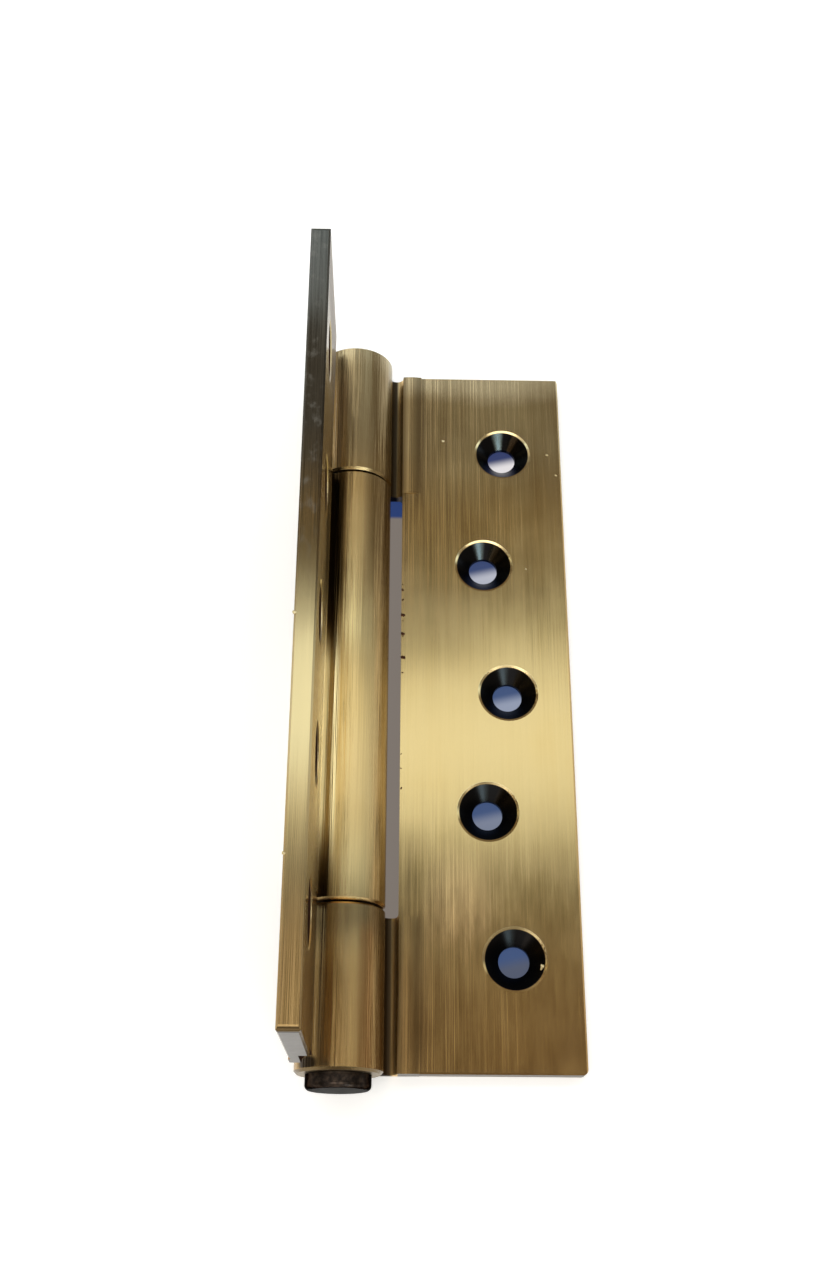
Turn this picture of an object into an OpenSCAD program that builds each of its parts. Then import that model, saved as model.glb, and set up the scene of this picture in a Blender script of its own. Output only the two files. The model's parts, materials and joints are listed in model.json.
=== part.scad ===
// Single-action spring hinge: two brass leaves share one barrel, and a torsion spring in the
// middle knuckle turns one leaf towards the other. A round-headed adjuster at the lower end
// winds the spring. The frame leaf lies on Z = 0, the pin line runs along Y above X = 0, and the
// door leaf stands square to the frame leaf.

/* [Leaves] */
// Length of both leaves along the pin line
leaf_length = 127; // [110:1:150]
// From the pin line to the free edge of a leaf
leaf_width = 38; // [36:0.5:60]
// Thickness of a leaf
leaf_thickness = 3.2; // [2.8:0.1:3.6]
// Bevel on the outer edges of a leaf
edge_bevel = 0.3; // [0.1:0.05:0.5]
// Radius of the free corners, seen square to the leaf
corner_radius = 0.9; // [0.4:0.1:3]
// Width of the raised shoulder where a leaf joins a knuckle
shoulder_width = 3.4; // [2.4:0.1:4]
// Height of that shoulder above the face
shoulder_rise = 0.15; // [0.05:0.05:0.4]
// How far the web between shoulder and knuckle lies under the face
web_drop = 0.45; // [0.2:0.05:0.7]
// Radius of the groove in that web
groove_radius = 1.2; // [0.9:0.05:1.3]

/* [Barrel] */
// Outer diameter of the barrel
barrel_diameter = 13.4; // [13:0.1:16]
// Length of the middle knuckle, which belongs to the door leaf
middle_length = 76.2; // [70:0.1:85]
// From the lower end of the leaves to the lower joint
lower_length = 24.2; // [20:0.1:28]
// How far the barrel sits below the ends of the leaves
barrel_drop = 0.6; // [0:0.1:0.8]
// Space between neighbouring knuckles
knuckle_gap = 0.3; // [0.2:0.05:0.6]
// Bevel on the ends of the knuckles
knuckle_bevel = 0.4; // [0.2:0.05:0.6]
// Space between a knuckle and the edge of the other leaf
slot_width = 2.1; // [1.5:0.1:3]
// Radius in the inner corners of that space
slot_corner = 0.6; // [0.3:0.1:0.7]
// How far the frame leaf's slot runs on past the upper joint
slot_over = 1.1; // [0:0.1:1.5]
// Radius of the relief in the lower end of the door leaf
relief_radius = 1.1; // [0.5:0.1:1.4]
// Length of that relief along the leaf
relief_length = 7; // [3:0.5:10]
// How far its centre lies under the leaf's face
relief_inset = 0.4; // [0:0.1:0.8]
// Diameter of the spring chamber in the middle knuckle
chamber_diameter = 10; // [9.8:0.1:10.4]

/* [Screw holes] */
// Diameter of the straight part of a screw hole
screw_bore = 5; // [4:0.1:5.6]
// Diameter of the countersink at the leaf's face
sink_diameter = 9.9; // [9.2:0.1:10]
// Width of the broken edge around a countersink
sink_rim = 0.4; // [0.1:0.05:0.5]
// From the pin line to the outer column of holes
outer_column = 27.2; // [24:0.1:29]
// From the pin line to the inner column of holes
inner_column = 23.4; // [20:0.1:24]
// Top hole in the outer column, from the middle of the leaf
hole_top = 46.7; // [44:0.1:48]
// Upper hole in the inner column
hole_upper = 23.5; // [21:0.1:26]
// Middle hole in the outer column
hole_middle = -0.9; // [-3:0.1:3]
// Lower hole in the inner column
hole_lower = -22; // [-26:0.1:-20]
// Bottom hole in the outer column
hole_bottom = -46.1; // [-48:0.1:-44]

/* [Adjuster] */
// Diameter of the adjuster's head
head_diameter = 10; // [8:0.1:12]
// Height of the head
head_height = 2.2; // [2:0.1:4]
// Rounding on the outer edge of the head
head_round = 0.7; // [0.3:0.1:0.9]
// Diameter of the shank, shared by the pivot at the other end
shank_diameter = 6; // [5.8:0.1:6.2]
// Diameter of the two holes for a turning rod in the lower side of the head
rod_diameter = 1.2; // [0.8:0.1:1.3]
// Depth of those holes
rod_depth = 2.4; // [1.5:0.1:3]

/* [Spring] */
// Diameter of the spring wire
wire_diameter = 1.6; // [1.4:0.05:1.7]
// Number of turns in the spring
spring_turns = 29; // [20:1:29]
// How far the plug reaches into the chamber
plug_length = 14; // [13:0.5:16]
// How far the bush reaches into the chamber
bush_length = 8; // [6:0.5:10]
// Length of the slotted nose that holds each end of the spring
nose_length = 4; // [3.5:0.1:5]
// How far the upper pivot reaches into the plug
pivot_reach = 9.5; // [8:0.1:9.7]

/* [Small fasteners] */
// Diameter of the pin that holds the plug
plug_pin_diameter = 2; // [1.5:0.1:2.2]
// Diameter of the lock screw
lock_diameter = 4; // [3:0.5:4]
// Diameter of the lock screw's point
lock_point = 2; // [1.5:0.1:2]

/* [Fits] */
// Space around a turning shank, on the radius
running_clearance = 0.05; // [0.02:0.01:0.08]
// Space between pieces that pass without touching
free_clearance = 0.3; // [0.25:0.05:0.35]
// Space under the adjuster's head
head_clearance = 0.1; // [0.05:0.05:0.2]

/* [Hidden] */
$fn = 64;
cut_margin = 1;
cut_depth = leaf_thickness + 2 * cut_margin;

barrel_radius = barrel_diameter / 2;
back_inset = 0.05;
pin_height = barrel_radius + back_inset;
chamber_radius = chamber_diameter / 2;
shank_radius = shank_diameter / 2;
running_radius = shank_radius + running_clearance;
slot_edge = barrel_radius + slot_width;

leaf_low = -leaf_length / 2;
leaf_high = leaf_length / 2;
joint_low = leaf_low + lower_length;
joint_high = joint_low + middle_length;
middle_low = joint_low + knuckle_gap / 2;
middle_high = joint_high - knuckle_gap / 2;
lower_high = joint_low - knuckle_gap / 2;
upper_low = joint_high + knuckle_gap / 2;
barrel_low = leaf_low - barrel_drop;
barrel_high = leaf_high - barrel_drop;
lock_place = (leaf_low + lower_high) / 2;
web_height = leaf_thickness - web_drop;
shoulder_end = slot_edge + shoulder_width;
shoulder_crest = slot_edge + shoulder_width / 2;

sink_depth = (sink_diameter - screw_bore) / 2;
screw_holes = [
    [outer_column, hole_top],
    [inner_column, hole_upper],
    [outer_column, hole_middle],
    [inner_column, hole_lower],
    [outer_column, hole_bottom]
];

nose_radius = shank_radius - free_clearance;
nose_slot = wire_diameter + free_clearance;
bush_low = middle_low + free_clearance;
bush_high = bush_low + bush_length;
plug_high = middle_high - free_clearance;
plug_low = plug_high - plug_length;
pivot_low = plug_high - pivot_reach;
pivot_bore = pivot_reach + free_clearance;
plug_pin_place = (plug_low + plug_high - pivot_bore) / 2;
plug_pin_depth = shank_radius;

head_high = barrel_low - head_clearance;
head_low = head_high - head_height;
head_radius = head_diameter / 2;
rod_place = head_high - (head_height - head_round) / 2;
lock_groove_radius = shank_radius - lock_point * 0.4;
lock_groove_width = lock_point + 2 * free_clearance;
nose_high = bush_high + nose_length;

coil_radius = chamber_radius - free_clearance - wire_diameter / 2;
bend_radius = 1.2;
bend_angle = asin(bend_radius / (coil_radius - bend_radius));
leg_end = (coil_radius - bend_radius) * cos(bend_angle);
spring_low = bush_high + free_clearance + wire_diameter / 2;
spring_high = plug_low - free_clearance - wire_diameter / 2;
wire_sides = 8;
steps_per_turn = 16;

// Turns 2D work so that it runs along the pin line, between two places on it
module along_pin(from, to) {
    translate([0, to, 0]) rotate([90, 0, 0]) linear_extrude(height = to - from) children();
}

// A solid of revolution about the pin line, from [radius, place] points
module turned(points) {
    translate([0, 0, pin_height]) rotate([-90, 0, 0]) rotate_extrude() polygon(points);
}

// A round bar on the pin line
module pin_bar(radius, from, to) {
    translate([0, from, pin_height]) rotate([-90, 0, 0]) cylinder(r = radius, h = to - from);
}

// A bar that starts on the pin line and points away from both leaves
module side_bar(radius, place, near, far, sides = $fn) {
    translate([-near, place, pin_height]) rotate([0, -90, 0])
        cylinder(r = radius, h = far - near, $fn = sides);
}

// One knuckle with bevelled ends
module knuckle(from, to) {
    turned([
        [0, from],
        [barrel_radius - knuckle_bevel, from],
        [barrel_radius, from + knuckle_bevel],
        [barrel_radius, to - knuckle_bevel],
        [barrel_radius - knuckle_bevel, to],
        [0, to]
    ]);
}

// Section of a leaf: back face on the first axis, barrel at the left, web under the barrel
module leaf_section() {
    polygon([
        [-cut_margin, 0],
        [leaf_width - edge_bevel, 0],
        [leaf_width, edge_bevel],
        [leaf_width, leaf_thickness - edge_bevel],
        [leaf_width - edge_bevel, leaf_thickness],
        [slot_edge, leaf_thickness],
        [slot_edge, web_height],
        [-cut_margin, web_height]
    ]);
}

// Section of the shoulder that stands on the face beside a knuckle
module shoulder_section() {
    climb = [
        for (way = [0 : 0.125 : 1])
            [
                shoulder_end + (shoulder_crest - shoulder_end) * way,
                leaf_thickness + shoulder_rise * (1 - cos(180 * way)) / 2
            ]
    ];
    fall = [
        for (way = [0.125 : 0.125 : 1])
            [
                shoulder_crest + (slot_edge - shoulder_crest) * way,
                leaf_thickness + shoulder_rise * (1 - way * way)
            ]
    ];
    polygon(concat([[shoulder_crest, web_height]], climb, fall));
}

// What a square corner loses to its rounding
module corner_waste(radius) {
    side = radius + cut_margin;
    difference() {
        translate([0, 0, -cut_margin]) cube([side, side, cut_depth]);
        translate([0, 0, -2 * cut_margin]) cylinder(r = radius, h = cut_depth + 2 * cut_margin);
    }
}

// Bevel along one end of a leaf, at the back or the face
module end_bevel_waste() {
    translate([shoulder_end, 0, 0]) rotate([0, 90, 0]) rotate([0, 0, 45])
        cube([edge_bevel * sqrt(2), edge_bevel * sqrt(2), 2 * leaf_width], center = true);
}

// A screw hole, countersunk from the face
module screw_hole() {
    translate([0, 0, -cut_margin]) cylinder(d = screw_bore, h = leaf_thickness + cut_margin);
    translate([0, 0, leaf_thickness - sink_depth])
        cylinder(d1 = screw_bore, d2 = sink_diameter, h = sink_depth);
    translate([0, 0, leaf_thickness - sink_rim / 2])
        cylinder(d1 = sink_diameter - sink_rim, d2 = sink_diameter + 3 * sink_rim, h = sink_rim);
}

// The opening that a leaf leaves for the other leaf's knuckle
module slot(from, to) {
    low = from + slot_corner;
    high = to - slot_corner;
    reach = slot_edge - slot_corner;
    translate([-2 * cut_margin, from, -cut_margin]) cube([reach + 2 * cut_margin, to - from, cut_depth]);
    translate([0, low, -cut_margin]) cube([slot_edge, high - low, cut_depth]);
    for (place = [low, high])
        translate([reach, place, -cut_margin]) cylinder(r = slot_corner, h = cut_depth);
}

// A flat leaf with its holes, finished edges and root groove, before the knuckles; roots are the
// stretches of the pin line, from and to, that get a knuckle
module leaf_plate(roots) {
    difference() {
        union() {
            along_pin(leaf_low, leaf_high) leaf_section();
            for (root = roots) along_pin(root[0], root[1]) shoulder_section();
        }
        for (hole = screw_holes) translate([hole[0], hole[1], 0]) screw_hole();
        translate([leaf_width - corner_radius, leaf_high - corner_radius, 0]) corner_waste(corner_radius);
        translate([leaf_width - corner_radius, leaf_low + corner_radius, 0]) rotate([0, 0, -90])
            corner_waste(corner_radius);
        for (place = [leaf_low, leaf_high], level = [0, leaf_thickness])
            translate([leaf_width, place, level]) end_bevel_waste();
        translate([slot_edge - groove_radius, leaf_low - cut_margin, web_height])
            rotate([-90, 0, 0]) cylinder(r = groove_radius, h = leaf_length + 2 * cut_margin);
    }
}

// Half-round relief across the lower end of a leaf, from its root along the face
module foot_relief() {
    translate([slot_edge - cut_margin, leaf_low, leaf_thickness - relief_inset]) rotate([0, 90, 0])
        cylinder(r = relief_radius, h = relief_length + cut_margin);
}

// Swaps across and up, so that a flat leaf stands square to the other on the same pin line
module stand_up() {
    multmatrix([[0, 0, 1, -pin_height], [0, 1, 0, 0], [1, 0, 0, pin_height]]) children();
}

// Flat leaf with the two outer knuckles
module frame_leaf() {
    color("darkgoldenrod") difference() {
        union() {
            difference() {
                leaf_plate([[leaf_low, lower_high], [upper_low + slot_over, leaf_high]]);
                slot(lower_high, upper_low + slot_over);
            }
            knuckle(barrel_low, lower_high);
            knuckle(upper_low, barrel_high);
        }
        pin_bar(running_radius, barrel_low - cut_margin, lower_high + cut_margin);
        pin_bar(shank_radius, upper_low - cut_margin, barrel_high + cut_margin);
        side_bar(lock_diameter / 2, lock_place, 0, barrel_radius + cut_margin);
    }
}

// Standing leaf with the middle knuckle
module door_leaf() {
    color("goldenrod") difference() {
        union() {
            stand_up() difference() {
                leaf_plate([[middle_low, middle_high]]);
                slot(leaf_low - slot_corner, middle_low);
                slot(middle_high, leaf_high + slot_corner);
                foot_relief();
            }
            knuckle(middle_low, middle_high);
        }
        pin_bar(chamber_radius, middle_low - cut_margin, middle_high + cut_margin);
        side_bar(plug_pin_diameter / 2, plug_pin_place, shank_radius, pin_height + cut_margin);
    }
}

// Plain pivot fixed in the upper knuckle
module top_pivot() {
    end = barrel_high - free_clearance;
    color("dimgray") turned([
        [0, pivot_low],
        [shank_radius - knuckle_bevel, pivot_low],
        [shank_radius, pivot_low + knuckle_bevel],
        [shank_radius, end - knuckle_bevel],
        [shank_radius - knuckle_bevel, end],
        [0, end]
    ]);
}

// Slot across a nose for the straight leg of the spring
module leg_slot(from, to) {
    translate([-chamber_radius, from, pin_height - nose_slot / 2])
        cube([chamber_diameter, to - from, nose_slot]);
}

// Plug in the middle knuckle: bearing for the pivot above, hold for the spring below
module anchor_plug() {
    color("peru") difference() {
        turned([
            [0, plug_low - nose_length],
            [nose_radius, plug_low - nose_length],
            [nose_radius, plug_low],
            [chamber_radius, plug_low],
            [chamber_radius, plug_high],
            [0, plug_high]
        ]);
        pin_bar(running_radius, plug_high - pivot_bore, plug_high + cut_margin);
        leg_slot(plug_low - nose_length - cut_margin, plug_low);
        side_bar(plug_pin_diameter / 2, plug_pin_place, plug_pin_depth, pin_height + cut_margin);
    }
}

// Pin through the back of the middle knuckle that keeps the plug from turning
module plug_pin() {
    color("silver") side_bar(plug_pin_diameter / 2, plug_pin_place, plug_pin_depth, barrel_radius);
}

// Bush that guides the adjuster at the lower end of the chamber
module lower_bush() {
    color("sandybrown") difference() {
        pin_bar(chamber_radius, bush_low, bush_high);
        pin_bar(running_radius, bush_low - cut_margin, bush_high + cut_margin);
    }
}

// Headed spindle that winds the lower end of the spring
module adjuster() {
    groove_low = lock_place - lock_groove_width / 2;
    groove_high = lock_place + lock_groove_width / 2;
    round_points = [
        for (turn = [0 : 22.5 : 90])
            [head_radius - head_round * (1 - sin(turn)), head_low + head_round * (1 - cos(turn))]
    ];
    color("black") difference() {
        turned(concat([[0, head_low]], round_points, [
            [head_radius, head_high],
            [shank_radius, head_high],
            [shank_radius, groove_low],
            [lock_groove_radius, groove_low],
            [lock_groove_radius, groove_high],
            [shank_radius, groove_high],
            [shank_radius, bush_high],
            [nose_radius, bush_high],
            [nose_radius, nose_high],
            [0, nose_high]
        ]));
        for (turn = [130, 230])
            translate([0, rod_place, pin_height]) rotate([0, turn, 0])
                translate([0, 0, head_radius - rod_depth]) cylinder(d = rod_diameter, h = head_radius);
        leg_slot(bush_high, nose_high + cut_margin);
    }
}

// Grub screw in the far side of the lower knuckle, with its point in the adjuster's groove
module lock_screw() {
    point_end = lock_groove_radius + free_clearance;
    body_start = running_radius + free_clearance;
    body_end = barrel_radius - free_clearance;
    color("gray") difference() {
        union() {
            side_bar(lock_diameter / 2, lock_place, body_start, body_end);
            side_bar(lock_point / 2, lock_place, point_end, body_start + free_clearance);
        }
        side_bar(lock_diameter / 4, lock_place, body_end - lock_diameter * 0.4, body_end + cut_margin, 6);
    }
}

// Centre line of the spring: straight leg, bend, turns, bend, straight leg
function bend_points(way) = [
    for (turn = [-90 : 22.5 : bend_angle - 1])
        [leg_end + bend_radius * cos(turn), way * (bend_radius + bend_radius * sin(turn))]
];
function coil_point(turn, height) = [coil_radius * cos(turn), height, coil_radius * sin(turn)];
function spun(point, turn, height) = [
    point[0] * cos(turn) - point[1] * sin(turn),
    height,
    point[0] * sin(turn) + point[1] * cos(turn)
];
coil_turn = 360 * spring_turns - 2 * bend_angle;
coil_steps = ceil(spring_turns * steps_per_turn);
lower_leg = concat([[-coil_radius + wire_diameter / 2, 0]], bend_points(1));
upper_leg = concat([[-coil_radius + wire_diameter / 2, 0]], bend_points(-1));
spring_line = concat(
    [for (point = lower_leg) spun(point, 0, spring_low)],
    [
        for (step = [0 : coil_steps])
            coil_point(
                bend_angle + coil_turn * step / coil_steps,
                spring_low + (spring_high - spring_low) * step / coil_steps
            )
    ],
    [for (i = [len(upper_leg) - 1 : -1 : 0]) spun(upper_leg[i], 360 * spring_turns, spring_high)]
);

// Sections of the wire, square to the centre line, with one corner ring per point
function unit(v) = v / norm(v);
function heading(line, i) = unit(line[min(i + 1, len(line) - 1)] - line[max(i - 1, 0)]);
function ring(point, ahead) = let (side = unit(cross(ahead, [0, 1, 0])), rise = cross(side, ahead)) [
    for (corner = [0 : wire_sides - 1])
        let (turn = 360 * corner / wire_sides)
            point + wire_diameter / 2 * (cos(turn) * side + sin(turn) * rise)
];

// Coiled wire whose legs sit in the plug and the adjuster
module torsion_spring() {
    last = len(spring_line) - 1;
    rings = [for (i = [0 : last]) each ring(spring_line[i], heading(spring_line, i))];
    walls = [
        for (i = [0 : last - 1], corner = [0 : wire_sides - 1])
            let (next = (corner + 1) % wire_sides)
                [
                    i * wire_sides + corner,
                    (i + 1) * wire_sides + corner,
                    (i + 1) * wire_sides + next,
                    i * wire_sides + next
                ]
    ];
    start_cap = [for (corner = [0 : wire_sides - 1]) corner];
    end_cap = [for (corner = [wire_sides - 1 : -1 : 0]) last * wire_sides + corner];
    color("slategray") translate([0, 0, pin_height])
        polyhedron(points = rings, faces = concat(walls, [start_cap], [end_cap]), convexity = 10);
}

frame_leaf();
door_leaf();
top_pivot();
anchor_plug();
plug_pin();
torsion_spring();
lower_bush();
adjuster();
lock_screw();
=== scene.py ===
# %% [markdown]
# # A spring hinge in antique brass
#
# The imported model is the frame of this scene: two brass leaves on one barrel, and
# inside the barrel a torsion spring between an anchor plug and an adjuster. Blender
# adds the looks: finishes, the small marks of making and use, and the light. Sizes are
# written in millimetres, as on a drawing, and MM turns them into Blender's metres.

# %% Load the frame
import json
import math
import random
from types import SimpleNamespace

import bpy
from mathutils import Euler, Matrix, Vector

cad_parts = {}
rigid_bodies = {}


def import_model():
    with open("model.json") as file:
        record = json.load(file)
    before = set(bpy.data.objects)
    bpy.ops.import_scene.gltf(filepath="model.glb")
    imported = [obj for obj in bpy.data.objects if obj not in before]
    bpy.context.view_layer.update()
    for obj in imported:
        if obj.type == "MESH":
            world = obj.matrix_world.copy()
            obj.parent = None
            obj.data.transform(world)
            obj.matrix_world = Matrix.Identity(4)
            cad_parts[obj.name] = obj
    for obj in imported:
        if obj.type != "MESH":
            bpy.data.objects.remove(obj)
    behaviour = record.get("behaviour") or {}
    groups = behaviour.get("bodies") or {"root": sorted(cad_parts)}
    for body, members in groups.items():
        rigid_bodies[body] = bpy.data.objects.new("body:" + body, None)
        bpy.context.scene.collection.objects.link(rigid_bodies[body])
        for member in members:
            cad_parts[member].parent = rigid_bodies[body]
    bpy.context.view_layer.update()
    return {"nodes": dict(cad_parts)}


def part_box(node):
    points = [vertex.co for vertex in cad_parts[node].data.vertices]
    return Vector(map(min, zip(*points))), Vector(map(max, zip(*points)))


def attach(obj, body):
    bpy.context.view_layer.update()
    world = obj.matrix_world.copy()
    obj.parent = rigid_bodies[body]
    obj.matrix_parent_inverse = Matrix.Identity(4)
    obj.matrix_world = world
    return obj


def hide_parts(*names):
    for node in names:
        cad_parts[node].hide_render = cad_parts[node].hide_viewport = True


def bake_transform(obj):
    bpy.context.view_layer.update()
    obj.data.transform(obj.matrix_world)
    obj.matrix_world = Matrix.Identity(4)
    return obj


for leftover in list(bpy.data.objects):
    bpy.data.objects.remove(leftover)

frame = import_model()
nodes = frame["nodes"]
MM = 0.001
print("nodes:", ", ".join(sorted(nodes)))

# %% [markdown]
# ## The camera
#
# The hinge was photographed from above its lower end, quite close, so the standing
# leaf looks tall. A lens of that angle has to be placed just as close: a longer lens
# from further away would give the same size but a flatter leaf. The place and the turn
# come from lining up the corners and holes of the leaves.

# %% Camera
LENS, SENSOR, NEAREST = 38.78, 36.0, 10.0
CAMERA_PLACE, CAMERA_TURN = (6.976, -89.124, 219.922), (24.466, -1.191, 0.259)
scene = bpy.context.scene
lens = bpy.data.cameras.new("camera")
lens.lens, lens.sensor_width, lens.clip_start = LENS, SENSOR, NEAREST * MM
camera = bpy.data.objects.new("camera", lens)
camera.location = Vector(CAMERA_PLACE) * MM
camera.rotation_euler = Euler([math.radians(a) for a in CAMERA_TURN])
scene.collection.objects.link(camera)
scene.camera = camera
scene.view_settings.view_transform = "Standard"
print("camera at", [round(c / MM, 1) for c in camera.location], "mm")

# %% [markdown]
# ## Shader maths as Python
#
# A finish is mostly arithmetic on masks. Wiring Math nodes by hand hides the
# arithmetic, so one small class wraps a socket and lets Python's operators add the
# nodes. Every other node comes from its one method, `node`. Two shapes of mask come
# back again and again: a step, which goes from 0 to 1 once, and a strip, which goes up
# and comes down again.


# %% Field: a socket to calculate with
class Field:
    def __init__(self, tree, socket):
        self.tree, self.socket = tree, socket

    def node(self, kind, settings=None, sockets=None, out=0):
        """Any node: its settings first, then the values or links of its sockets."""
        made = self.tree.nodes.new(kind)
        for name, value in (settings or {}).items():
            setattr(made, name, value)
        for name, value in (sockets or {}).items():
            if isinstance(value, Field):
                self.tree.links.new(value.socket, made.inputs[name])
            else:
                made.inputs[name].default_value = value
        return Field(self.tree, made.outputs[out])

    def math(self, operation, a, b=0.0):
        return self.node("ShaderNodeMath", {"operation": operation}, {0: a, 1: b})

    def __add__(self, other): return self.math("ADD", self, other)
    def __radd__(self, other): return self.math("ADD", other, self)
    def __sub__(self, other): return self.math("SUBTRACT", self, other)
    def __rsub__(self, other): return self.math("SUBTRACT", other, self)
    def __mul__(self, other): return self.math("MULTIPLY", self, other)
    def __rmul__(self, other): return self.math("MULTIPLY", other, self)
    def __truediv__(self, other): return self.math("DIVIDE", self, other)
    def __rtruediv__(self, other): return self.math("DIVIDE", other, self)
    def __pow__(self, other): return self.math("POWER", self, other)
    def __rpow__(self, other): return self.math("POWER", other, self)
    def __abs__(self): return self.math("ABSOLUTE", self)
    def low(self, other): return self.math("MINIMUM", self, other)
    def high(self, other): return self.math("MAXIMUM", self, other)

    def step(self, start, end):
        """0 at start, 1 at end, smooth between; start may be the larger one."""
        return self.node("ShaderNodeMapRange", {"interpolation_type": "SMOOTHSTEP"},
                         {"Value": self, "From Min": start, "From Max": end})

    def strip(self, start, full, fade, end):
        """0 up to start, 1 from full to fade, 0 again from end."""
        return self.step(start, full) * self.step(end, fade)

    def blend(self, a, b):
        """Colour a where this field is 0, colour b where it is 1."""
        return self.node("ShaderNodeMix", {"data_type": "RGBA"},
                         {0: self, 6: a, 7: b}, out=2)


print("fields add, subtract, multiply, divide and blend")


# %% Colours and distances
def rgb(r, g, b):
    return (r, g, b, 1.0)


def distance(*ways):
    """Length of a line, from how far it goes in each direction."""
    total = ways[0] * ways[0]
    for way in ways[1:]:
        total = total + way * way
    return total ** 0.5


print("a line of 3 by 4 is", distance(3.0, 4.0), "long")

# %% [markdown]
# ## A material starts from a place in millimetres
#
# Every finish here is laid out on Object coordinates, in millimetres, so a streak or
# a dark recess stays where the part has it, whichever way the hinge stands. A UV map
# would do too, but it has seams, and there are none in a block of metal.


# %% Start of a finish
def new_finish(name):
    """A metal, its place on the part in mm and the way its surface faces."""
    finish = bpy.data.materials.new(name)
    finish.use_nodes = True
    tree = finish.node_tree
    tree.nodes.clear()
    shader = tree.nodes.new("ShaderNodeBsdfPrincipled")
    output = tree.nodes.new("ShaderNodeOutputMaterial")
    tree.links.new(shader.outputs[0], output.inputs[0])
    shader.inputs["Metallic"].default_value = 1.0
    place = tree.nodes.new("ShaderNodeTexCoord")
    here = Field(tree, place.outputs["Object"])
    here = here.node("ShaderNodeVectorMath", {"operation": "SCALE"},
                     {0: here, "Scale": 1.0 / MM})
    return finish, shader, here, Field(tree, place.outputs["Normal"])


def feed(shader, socket, field):
    field.tree.links.new(field.socket, shader.inputs[socket])


def axes_of(here):
    return [here.node("ShaderNodeSeparateXYZ", {}, {0: here}, out=i) for i in range(3)]


print("finishes are laid out in mm")

# %% [markdown]
# ## Brush lines
#
# Brushing leaves scratches far finer than a pixel. They show in two ways: as streaks of
# tone, and as reflections that are smeared across the scratches but stay sharp along
# them. The streaks are noise, drawn out along the pin. For the smear the normal is
# tipped sideways by very fine streaks: a bump map would need a pixel for each scratch,
# and an anisotropic shader is lost when the model is exported.


# %% Streaks, bump and brush
def streaks(here, across, along, detail=3.0, seed=0.0, turn=0.0):
    """Noise drawn out along the pin: across and along are sizes in mm."""
    drawn = here.node("ShaderNodeMapping", {"vector_type": "POINT"},
                      {"Vector": here, "Location": (seed, 1.7 * seed, 2.3 * seed),
                       "Rotation": (0.0, 0.0, math.radians(turn)),
                       "Scale": (1 / across, 1 / along, 1 / across)})
    return here.node("ShaderNodeTexNoise", {}, {"Vector": drawn, "Scale": 1.0,
                                                "Detail": detail, "Roughness": 0.6})


def bump(shader, height, strength, distance_mm):
    normal = height.node("ShaderNodeBump", {}, {"Height": height, "Strength": strength,
                                                "Distance": distance_mm * MM})
    feed(shader, "Normal", normal)


def brush(shader, facing, tilt):
    """Tip the normal sideways, across lines that run along the pin."""
    along_pin = (0.0, 1.0, 0.0)
    aside = facing.node("ShaderNodeVectorMath", {"operation": "CROSS_PRODUCT"},
                        {0: along_pin, 1: facing})
    tipped = facing.node("ShaderNodeVectorMath", {"operation": "MULTIPLY_ADD"},
                         {0: aside, 1: tilt, 2: facing})
    turned = facing.node("ShaderNodeVectorTransform",
                         {"vector_type": "NORMAL", "convert_from": "OBJECT",
                          "convert_to": "WORLD"}, {0: tipped})
    feed(shader, "Normal", turned)


print("streaks, bumps and brush lines are ready")

# %% [markdown]
# ## Antique brushed brass: the map of a leaf
#
# The leaves were brushed along the pin, darkened all over and then rubbed bright again, so the
# dark stays in what the rubbing could not reach: the countersinks, the groove beside the knuckles,
# where painted shade adds to it, and the edge of the slot. Painting such places by hand works for
# one picture. Here each place is a mask worked out from the leaf's own sizes, so it lies exactly
# on its hole or edge, and the painted light and shade are laid on masks of the same kind. Both
# leaves share the same map: `across` runs from the pin to the free edge and `depth` from the back
# to the face.

# %% Screw holes
HOLES = [(27.2, 46.7), (23.4, 23.5), (27.2, -0.9), (23.4, -22.0), (27.2, -46.1)]
PIN_Z, BARREL, FACE, LEAF_END = 6.75, 6.7, 3.2, 63.5


def around_holes(across, along):
    """Distance to the nearest screw hole, and the way to there: sideways and upwards."""
    nearest, sideways, upwards = 99.0, 0.0, 0.0
    for u, v in HOLES:
        du, dv = across - u, along - v
        r = distance(du, dv)
        near = r.step(5.7, 5.5)
        nearest = r.low(nearest)
        sideways, upwards = near * du + sideways, near * dv + upwards
    reach = nearest.high(0.1)
    return nearest, sideways / reach, upwards / reach


print(len(HOLES), "screw holes in each leaf")


# %% The parts of a leaf
def leaf_map(leaf, here, facing):
    """Place in mm, and masks from 0 to 1 for the parts of a leaf and its knuckles."""
    on = SimpleNamespace(here=here)
    on.x, on.y, on.z = axes_of(here)
    on.across, on.depth = (on.x, on.z) if leaf == "frame" else (on.z - PIN_Z, on.x + PIN_Z)
    on.rise = on.z - PIN_Z
    on.plate = distance(on.x, on.rise).step(BARREL + 0.03, BARREL + 0.1)
    on.knuckle = 1.0 - on.plate
    on.face = on.depth.step(FACE - 0.3, FACE - 0.1) * on.plate
    # The height at which the arch's bright band crosses the hinge.
    on.band = on.y.strip(-38.0, -24.0, -1.0, 9.0)
    endwise = abs(axes_of(facing)[1])
    on.ends = endwise.step(0.75, 0.9)
    # Bevels near the lower end, which are painted darker as shade.
    on.slant = endwise.step(0.04, 0.16) * (1.0 - on.ends) * on.y.step(-60.0, -62.0)
    if leaf == "frame":
        on.slant = on.slant * on.knuckle
        on.root = on.y.step(33.0, 40.0).high(on.y.step(-36.0, -42.0))
    else:
        on.root = on.y.strip(-39.8, -38.6, 36.2, 37.4)
    return on


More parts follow.
